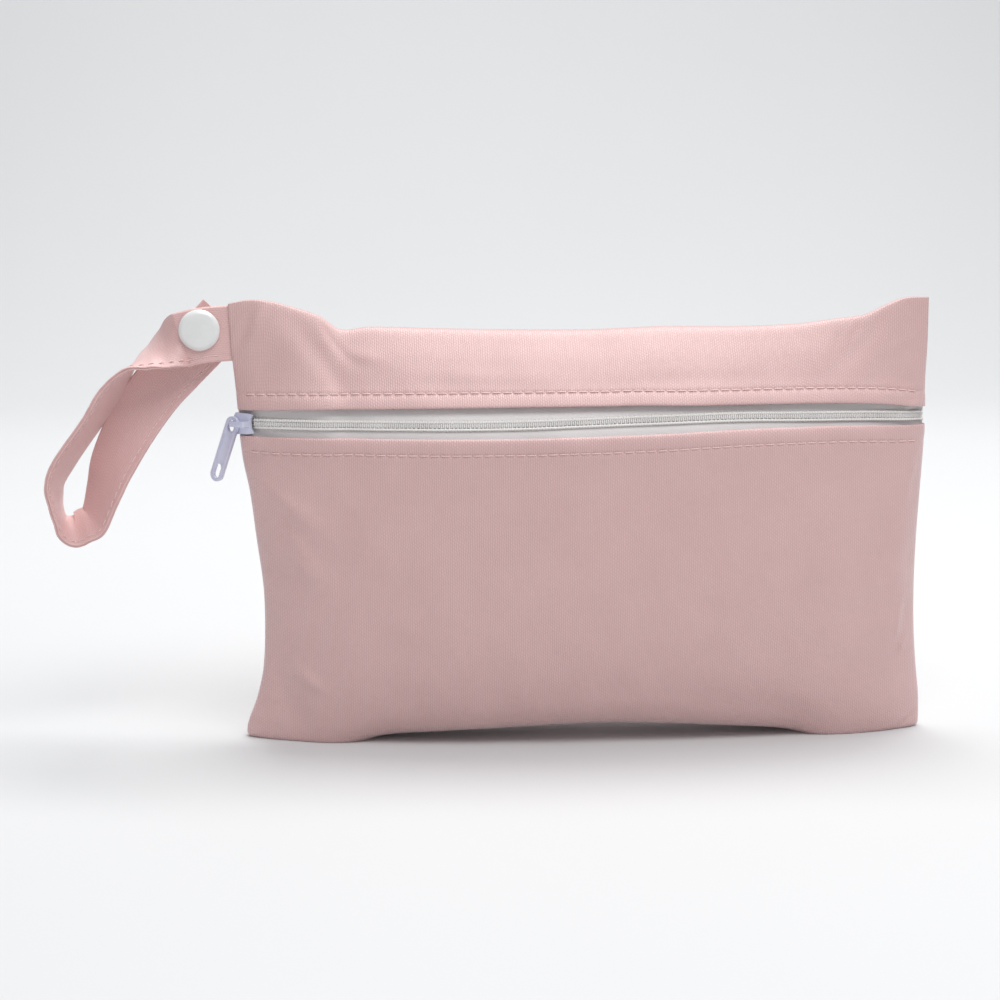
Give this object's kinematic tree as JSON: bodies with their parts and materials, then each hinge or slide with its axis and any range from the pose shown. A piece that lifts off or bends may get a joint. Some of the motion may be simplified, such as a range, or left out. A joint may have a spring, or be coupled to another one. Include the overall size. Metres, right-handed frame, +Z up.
{
  "type": "cloth diaper wet bag",
  "caption": "Small zip pouch of laminated knit, standing filled, with a coil zip across the front and a wrist strap closed by a plastic snap.",
  "frame": {"origin": "on the floor, under the middle of the box round the pouch and its strap", "axes": "+Z up, +X along the zip away from the strap, +Y from the zip side to the back"},
  "size_m": [0.268, 0.0472, 0.1345],
  "materials": {
    "knit": "matt fine knit, dusty pink",
    "strap_knit": "matt fine knit, dusty pink",
    "zip_tape": "woven polyester tape, pale grey",
    "zip_coil": "white nylon coil with white sewing",
    "lilac_metal": "glossy lilac paint",
    "snap_plastic": "glossy white moulded plastic"
  },
  "bodies": {
    "pouch": {"outer_cloth": "knit", "wrist_strap": "strap_knit", "zip_tape_upper": "zip_tape", "zip_tape_lower": "zip_tape", "zip_chain": "zip_coil", "slider_body": "lilac_metal", "snap_cap_front": "snap_plastic", "snap_socket": "snap_plastic", "snap_stud": "snap_plastic", "snap_cap_back": "snap_plastic"},
    "tab": {"pull_tab": "lilac_metal"}
  },
  "joints": [
    {"name": "tab_swing", "type": "hinge", "parent": "pouch", "child": "tab", "pos_m": [-0.0773, -0.00098, 0.09763], "axis": [-0.587, -0.8095, 0.0124], "range_deg": [-75, 30]}
  ]
}
